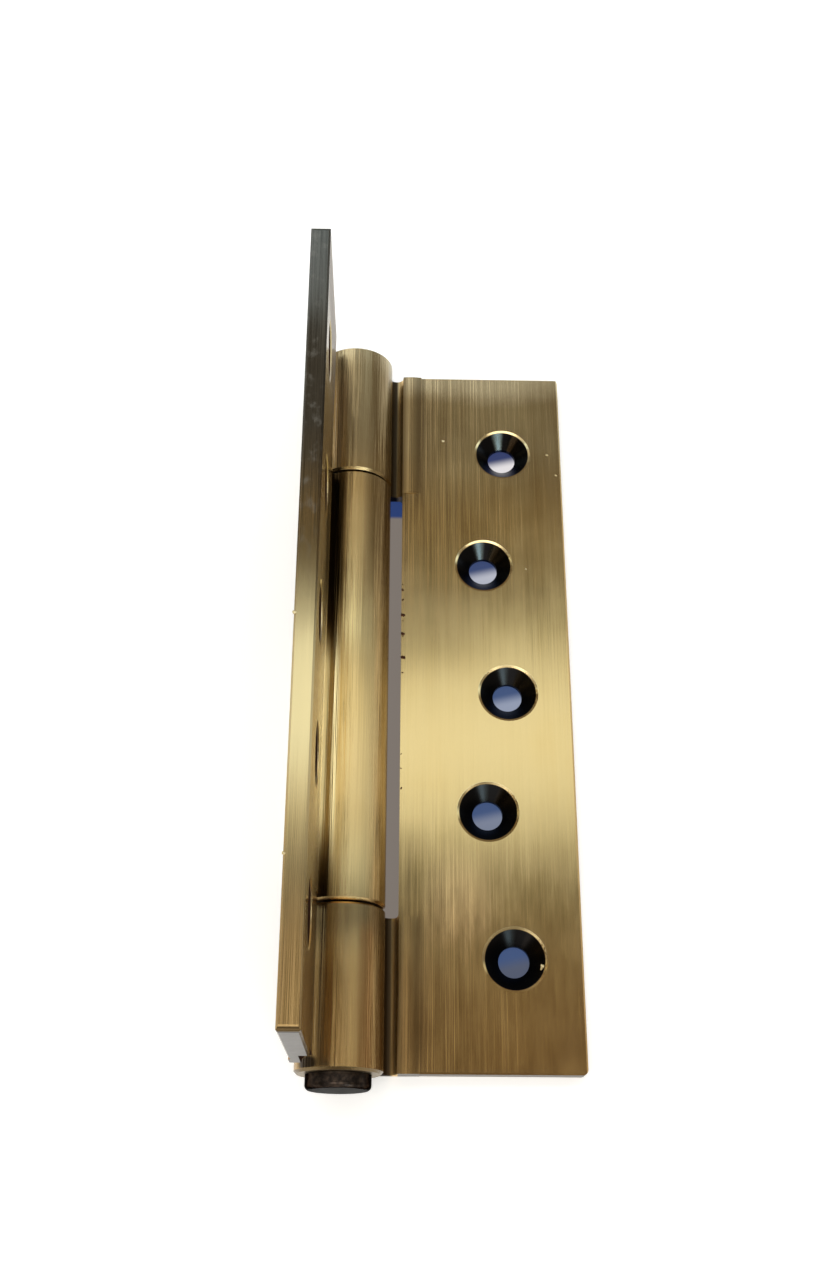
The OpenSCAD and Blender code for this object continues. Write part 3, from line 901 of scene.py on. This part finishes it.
# Painted light and shadow through the slot: warm grey, and blue at its upper end.
slot_light_and_shadow = fy.step(34.4, 35.2).blend(rgb(0.2, 0.172, 0.15), rgb(0.02, 0.045, 0.16))
painted_under_leaf = fx.step(9.5, 10.5).blend(slot_light_and_shadow, shaded.blend(lit, dim))
print("tones are set under", len(HOLES), "holes and the slot")

# %% Paper and glow
ROOM_COLOUR, ROOM_LEVEL = (1.0, 0.865, 0.69), 0.34
room_glow = rgb(*[c * ROOM_LEVEL for c in ROOM_COLOUR])
white = far_off.blend(rgb(0.8, 0.8, 0.8), rgb(0.0, 0.0, 0.0))
air = far_off.blend(rgb(0.42, 0.42, 0.42), room_glow)
# Under the frame leaf the paper is painted near black as shade.
paper = seen.node("ShaderNodeBsdfDiffuse", {},
                  {"Color": under_leaf.blend(white, rgb(0.02, 0.02, 0.02))})
glow = seen.node("ShaderNodeEmission", {},
                 {"Color": under_leaf.blend(air, painted_under_leaf), "Strength": seen})
both = seen.node("ShaderNodeAddShader", {}, {0: paper, 1: glow})
tree.links.new(both.socket, tree.nodes.new("ShaderNodeOutputMaterial").inputs[0])
floor_mesh.materials.append(sheet)
print("floor material has", len(tree.nodes), "nodes")

# %% [markdown]
# ## The room and its soft boxes
#
# Metal shows what stands around it, so light for metal is a question of what it mirrors. A warm,
# dim room fills in everywhere. Large soft boxes, at a plain level, give the broad tones, a small
# cool window adds a cool light from the front, and a ceiling box lies where only the upper rims of
# the top holes see it, as thin crescents. The sparkle in the countersinks is painted into the
# brass as reflections. Point lamps would leave small hot spots on brushed brass.

# %% Room
world = bpy.data.worlds.new("room")
scene.world = world
world.use_nodes = True
room = world.node_tree.nodes["Background"]
room.inputs["Color"].default_value = rgb(*ROOM_COLOUR)
room.inputs["Strength"].default_value = ROOM_LEVEL
print("room at", ROOM_LEVEL)


# %% Soft boxes
def soft_box(name, place_mm, aim_mm, size_mm, radiance, colour):
    lamp = bpy.data.lights.new(name, "AREA")
    lamp.shape, lamp.size, lamp.size_y = "RECTANGLE", size_mm[0] * MM, size_mm[1] * MM
    lamp.energy = radiance * math.pi * lamp.size * lamp.size_y
    lamp.color = colour
    back = (Vector(place_mm) - Vector(aim_mm)).normalized()
    side = Vector((1, 0, 0))
    side = (side - back * side.dot(back)).normalized()
    turn = Matrix((side, back.cross(side), back)).transposed().to_4x4()
    box = bpy.data.objects.new(name, lamp)
    box.matrix_world = Matrix.Translation(Vector(place_mm) * MM) @ turn
    box.visible_camera = False
    scene.collection.objects.link(box)
    print(name, "of", size_mm, "mm at", place_mm)


WARM_WHITE = (1.0, 0.97, 0.92)
soft_box("left_panel", (-380, 60, 640), (-380, 60, 0), (700, 1200), 0.75, WARM_WHITE)
soft_box("back_panel", (0, 760, 640), (0, 20, 7), (1400, 300), 0.55, (0.75, 0.92, 1.05))
soft_box("front_panel", (0, -620, 260), (0, 0, 7), (900, 220), 0.9, WARM_WHITE)
soft_box("front_window", (235, -540, 215), (10, 0, 3), (150, 240), 3.0, (0.8, 0.97, 1.08))
soft_box("ceiling", (70, -165, 540), (20, 0, 3), (620, 210), 2.5, (1.0, 0.97, 0.9))

# %% [markdown]
# ## The arch
#
# One bright band crosses leaf, barrel and free edge at the same height. All of them run
# along the pin, so their reflections turn only about the pin, and a light that bends
# round the pin like a tunnel is seen by all of them at one height. A single flat box
# would put the band at a different height on each. The arch is brightest overhead, and
# its edges fade out, so the band has no border.

# %% Shape of the arch
ARCH, HALF, COLUMNS = 565.0, 105.0, 12


def share(value):
    """The value, kept between 0 and 1."""
    return max(0.0, min(1.0, value))


angles = [math.radians(-88 + 4 * k) for k in range(45)]
arch_points, arch_across, arch_bright = [], [], []
for angle in angles:
    side, lean = ARCH * math.sin(angle), math.degrees(angle)
    middle = 181.0 + 24.0 * share(min((side + 30) / 70, (190 - side) / 75))
    bright = 1.0 - 0.45 * share((lean - 10) / 70) - 0.2 * share((-lean - 20) / 60)
    for c in range(COLUMNS + 1):
        off = -1.0 + 2.0 * c / COLUMNS
        arch_points.append((side * MM, (middle + off * HALF) * MM,
                            (PIN_Z + ARCH * math.cos(angle)) * MM))
        arch_across.append(off)
        arch_bright.append(bright)
row = COLUMNS + 1
arch_faces = [(i * row + c, i * row + c + 1, (i + 1) * row + c + 1, (i + 1) * row + c)
              for i in range(len(angles) - 1) for c in range(COLUMNS)]
print("arch of", len(arch_faces), "faces, radius", ARCH, "mm")

# %% Mesh of the arch
arch_mesh = bpy.data.meshes.new("arch")
arch_mesh.from_pydata(arch_points, [], arch_faces)
for label, values in (("across", arch_across), ("bright", arch_bright)):
    layer = arch_mesh.attributes.new(label, "FLOAT", "POINT")
    layer.data.foreach_set("value", values)
arch = bpy.data.objects.new("arch", arch_mesh)
arch.visible_camera = arch.visible_shadow = False
scene.collection.objects.link(arch)
print("the arch is hidden from the camera and casts no shadow")

# %% Light of the arch
COOL_WHITE, ARCH_LEVEL = rgb(0.86, 0.99, 1.06), 2.6
silk = bpy.data.materials.new("arch_silk")
silk.use_nodes = True
tree = silk.node_tree
tree.nodes.clear()
values = {}
for label in ("across", "bright"):
    reader = tree.nodes.new("ShaderNodeAttribute")
    reader.attribute_name = label
    values[label] = Field(tree, reader.outputs["Fac"])
level = abs(values["across"]).step(1.0, 0.28) * values["bright"]
shine = level.node("ShaderNodeEmission", {}, {"Color": level.blend(rgb(0, 0, 0), COOL_WHITE),
                                              "Strength": ARCH_LEVEL})
tree.links.new(shine.socket, tree.nodes.new("ShaderNodeOutputMaterial").inputs[0])
arch_mesh.materials.append(silk)
